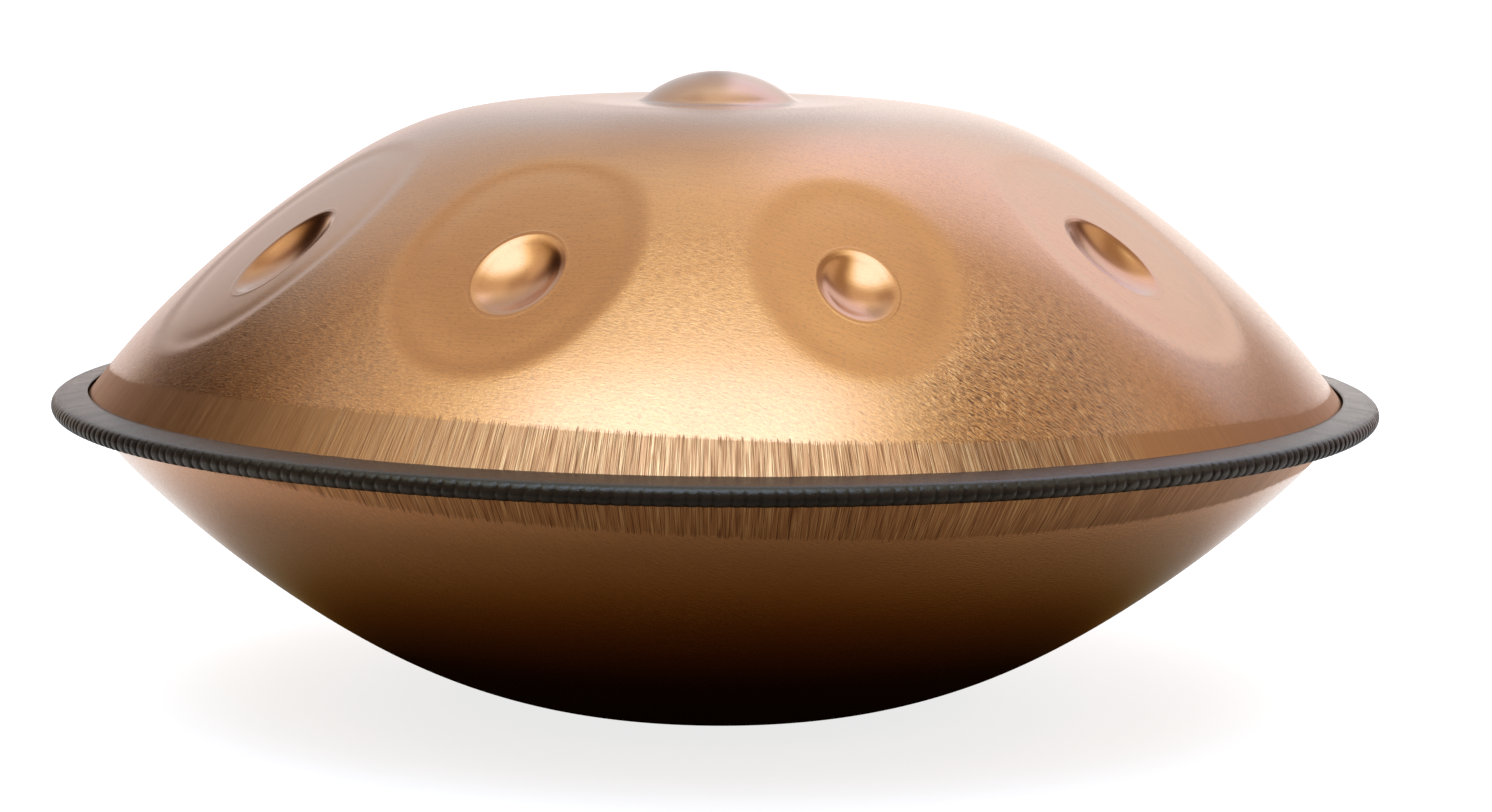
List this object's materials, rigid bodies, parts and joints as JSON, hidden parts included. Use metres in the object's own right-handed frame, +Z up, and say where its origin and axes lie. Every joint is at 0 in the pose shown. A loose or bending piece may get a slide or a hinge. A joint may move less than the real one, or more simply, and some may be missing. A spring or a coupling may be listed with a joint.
{
  "type": "handpan",
  "caption": "Hand-played steel pan: two domed shells joined at the rim, dimpled tone fields round a raised centre dome, open port underneath, wrapped soft rim trim.",
  "frame": {"origin": "centre of the ring that the instrument stands on, on its vertical axis", "axes": "+Z up through the centre dome, -Y towards the side with the two smallest tone fields, +X to the right seen from that side"},
  "size_m": [0.56, 0.56, 0.2669],
  "materials": {
    "bronze_steel": "satin, heat-tinted bronze, fine straight grain; tone fields smooth",
    "bronze_steel_lower": "satin, heat-tinted bronze, fine straight grain",
    "adhesive": "cured, dull",
    "foam_rubber": "matte",
    "rim_leather": "grained, gathered into fine pleats"
  },
  "bodies": {
    "root": {"upper_shell": "bronze_steel", "lower_shell": "bronze_steel_lower", "flange_adhesive": "adhesive", "rim_core": "foam_rubber", "rim_cover": "rim_leather"}
  },
  "joints": []
}
